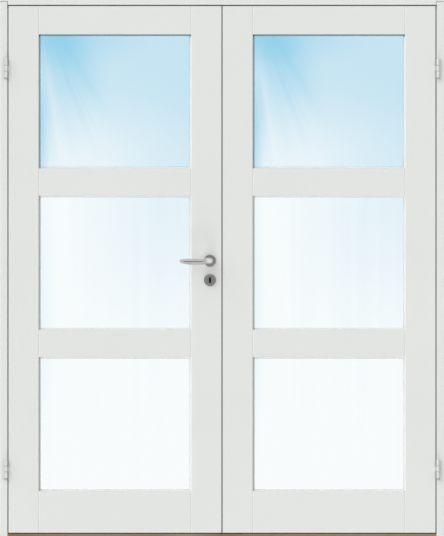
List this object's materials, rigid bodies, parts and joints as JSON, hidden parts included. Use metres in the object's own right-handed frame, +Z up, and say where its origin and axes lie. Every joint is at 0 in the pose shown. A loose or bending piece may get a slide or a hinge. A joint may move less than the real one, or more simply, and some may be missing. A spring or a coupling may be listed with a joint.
{
  "type": "french doors",
  "caption": "Glazed interior double doors in a white frame with an oak threshold; hinged leaves, lever handle, mortise lock and flush bolts.",
  "frame": {"origin": "on the floor under the threshold, at mid width and mid depth of the frame", "axes": "+Z up, +X to the right across the doorway seen from the side the leaves open to, -Y out of that side"},
  "size_m": [1.717, 0.1632, 2.09],
  "materials": {
    "paint": "factory-painted satin wood",
    "oak": "oiled oak",
    "glass": "clear float glass",
    "hinge_metal": "nickel-plated",
    "satin_steel": "satin",
    "lever_metal": "satin nickel",
    "steel": "brushed",
    "zinc": "zinc-plated",
    "magnet": "coated",
    "seal": "soft white seal"
  },
  "bodies": {
    "frame": {"jamb_left": "paint", "jamb_right": "paint", "head": "paint", "threshold": "oak", "frame_seal": "seal", "fixing_sleeves": "zinc", "head_strike": "steel", "floor_strike": "steel", "hinge_pins": "hinge_metal", "frame_screws": "zinc", "corner_screws": "zinc", "left_upper_hinge_frame_half": "hinge_metal", "left_lower_hinge_frame_half": "hinge_metal", "right_upper_hinge_frame_half": "hinge_metal", "right_lower_hinge_frame_half": "hinge_metal"},
    "left_leaf": {"left_upper_hinge_leaf_half": "hinge_metal", "left_lower_hinge_leaf_half": "hinge_metal", "left_hinge_stile": "paint", "left_meeting_stile": "paint", "left_bottom_rail": "paint", "left_lower_middle_rail": "paint", "left_upper_middle_rail": "paint", "left_top_rail": "paint", "left_glazing_beads": "paint", "left_bottom_glass": "glass", "left_middle_glass": "glass", "left_top_glass": "glass", "left_leaf_screws": "zinc", "lock_case": "zinc", "lock_forend": "steel", "handle_rosettes": "satin_steel", "key_rosettes": "satin_steel", "rosette_bolts": "zinc"},
    "right_leaf": {"right_upper_hinge_leaf_half": "hinge_metal", "right_lower_hinge_leaf_half": "hinge_metal", "right_hinge_stile": "paint", "right_meeting_stile": "paint", "right_bottom_rail": "paint", "right_lower_middle_rail": "paint", "right_upper_middle_rail": "paint", "right_top_rail": "paint", "right_glazing_beads": "paint", "right_bottom_glass": "glass", "right_middle_glass": "glass", "right_top_glass": "glass", "right_leaf_screws": "zinc", "strike_plate": "steel", "strike_magnet": "magnet", "top_flush_bolt_plate": "steel", "bottom_flush_bolt_plate": "steel", "meeting_seal": "seal"},
    "lever": {"lever_front": "lever_metal", "lever_back": "lever_metal", "spindle": "zinc", "lever_grub_screws": "zinc", "lock_follower": "zinc"},
    "latch": {"latch_bolt": "steel"},
    "deadbolt": {"deadbolt": "steel"},
    "top_bolt": {"top_flush_bolt": "steel"},
    "bottom_bolt": {"bottom_flush_bolt": "steel"}
  },
  "joints": [
    {"name": "left_leaf_swing", "type": "hinge", "parent": "frame", "child": "left_leaf", "pos_m": [-0.836, -0.05375, 0], "axis": [0, 0, -1], "range_deg": [0, 170]},
    {"name": "right_leaf_swing", "type": "hinge", "parent": "frame", "child": "right_leaf", "pos_m": [0.836, -0.05375, 0], "axis": [0, 0, 1], "range_deg": [0, 170]},
    {"name": "lever_turn", "type": "hinge", "parent": "left_leaf", "child": "lever", "pos_m": [-0.0465, -0.046, 1.071], "axis": [0, -1, 0], "range_deg": [0, 45], "stiffness_Nm_per_rad": 1.5, "springref_deg": -20.05},
    {"name": "latch_slide", "type": "slide", "parent": "left_leaf", "child": "latch", "axis": [1, 0, 0], "range_m": [0, 0.01], "stiffness_N_per_m": 60},
    {"name": "deadbolt_slide", "type": "slide", "parent": "left_leaf", "child": "deadbolt", "axis": [1, 0, 0], "range_m": [0, 0.012]},
    {"name": "top_bolt_slide", "type": "slide", "parent": "right_leaf", "child": "top_bolt", "axis": [0, 0, 1], "range_m": [0, 0.014]},
    {"name": "bottom_bolt_slide", "type": "slide", "parent": "right_leaf", "child": "bottom_bolt", "axis": [0, 0, -1], "range_m": [0, 0.014]}
  ]
}
